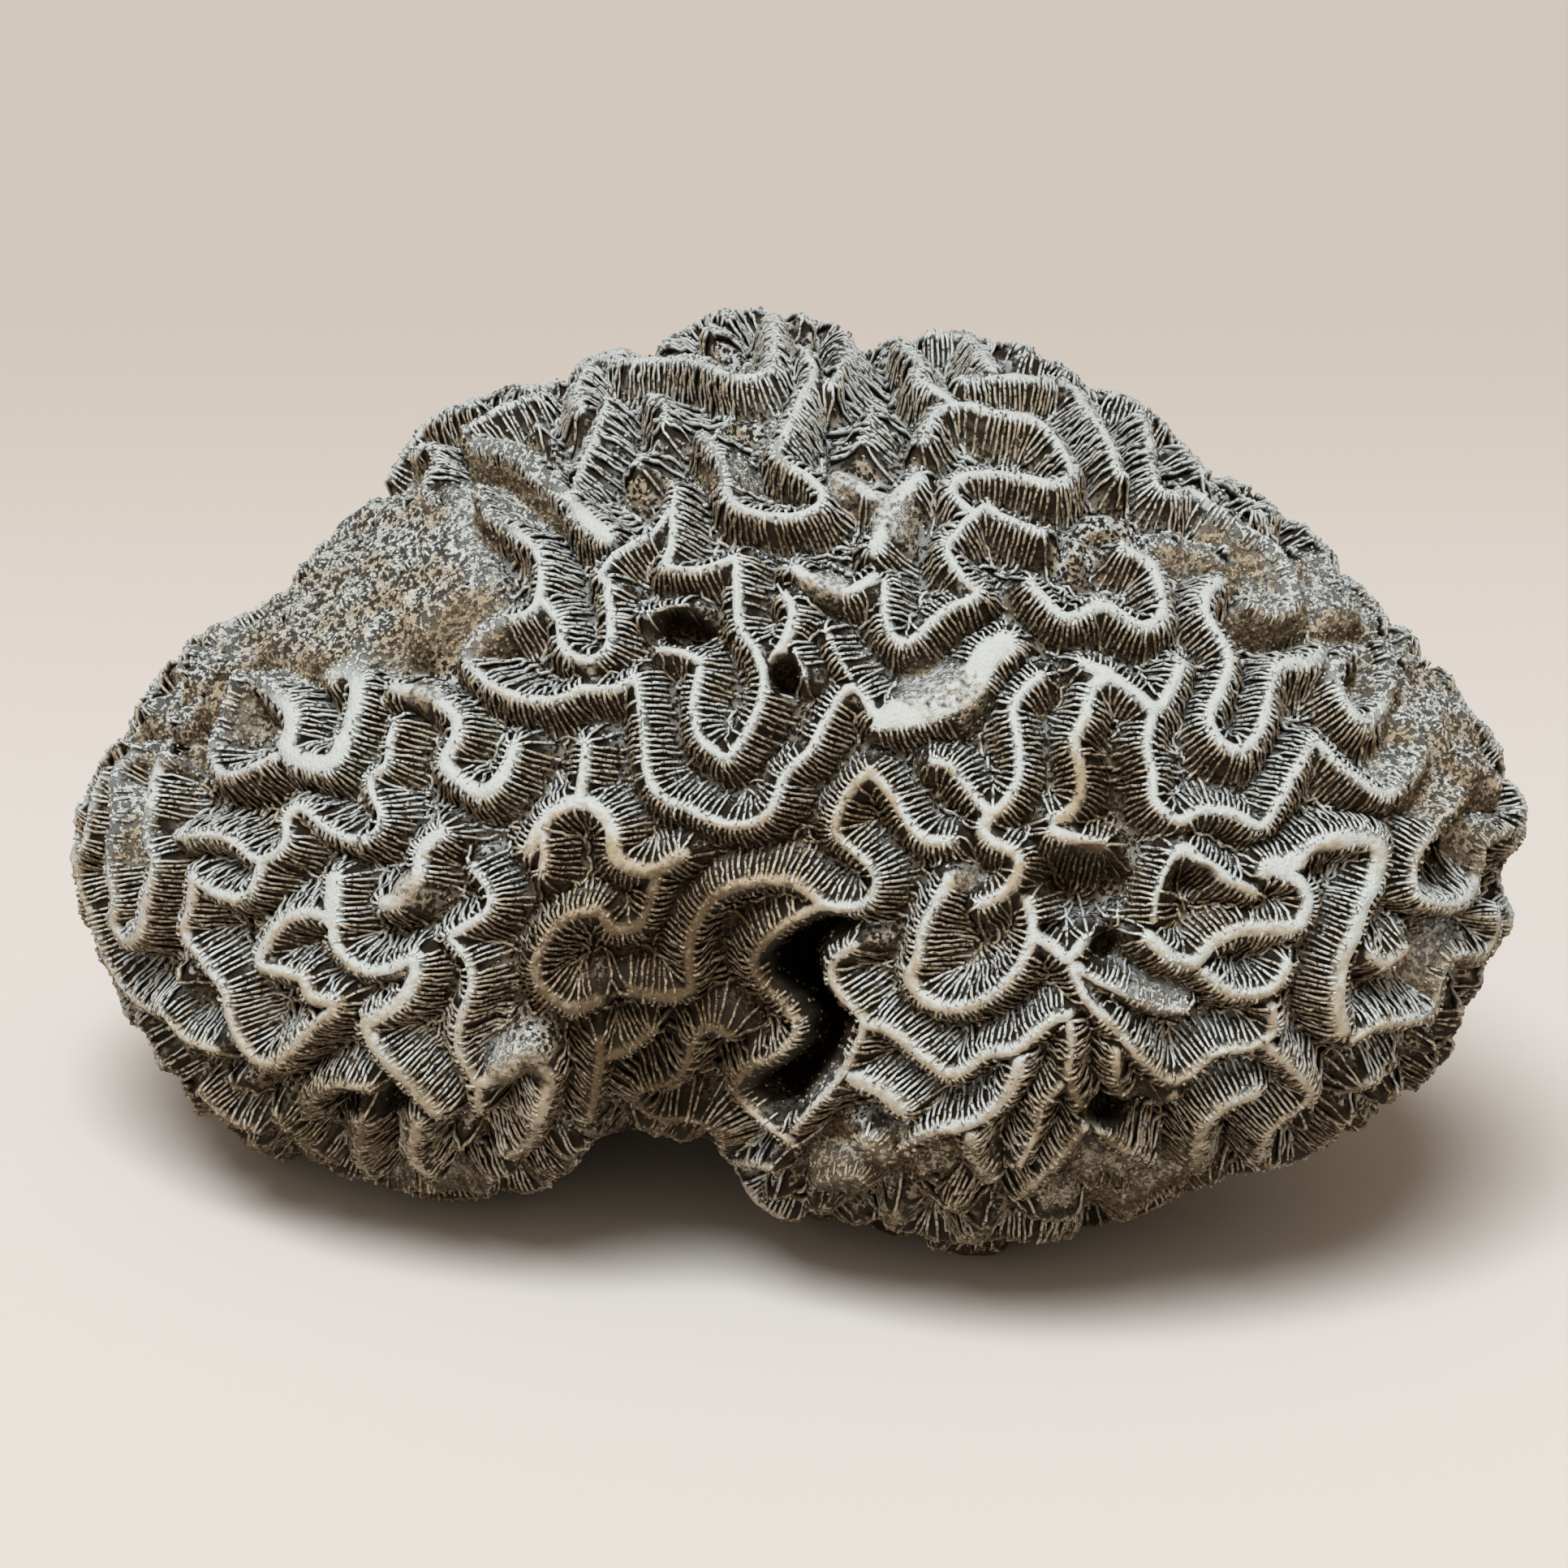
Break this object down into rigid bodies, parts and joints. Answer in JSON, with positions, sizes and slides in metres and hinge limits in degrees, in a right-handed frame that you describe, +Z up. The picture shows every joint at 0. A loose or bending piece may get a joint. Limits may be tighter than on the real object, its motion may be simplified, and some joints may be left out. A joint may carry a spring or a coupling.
{
  "type": "brain coral specimen",
  "caption": "Dry rounded block of brain coral with winding ridges and valleys all over, a dark cave in its face and two low lobes cut flat to rest on.",
  "frame": {"origin": "under the middle of the coral's bounding box, on the plane of the flat cut that it rests on", "axes": "+X along the long side of the coral, to the right as its ridged face is seen, +Y away from that face towards the back, +Z up"},
  "size_m": [0.2248, 0.1568, 0.1396],
  "materials": {
    "coral_skeleton": "matt bleached limestone, pale on the crests and brown in the valleys"
  },
  "bodies": {
    "root": {"coral": "coral_skeleton"}
  },
  "joints": []
}
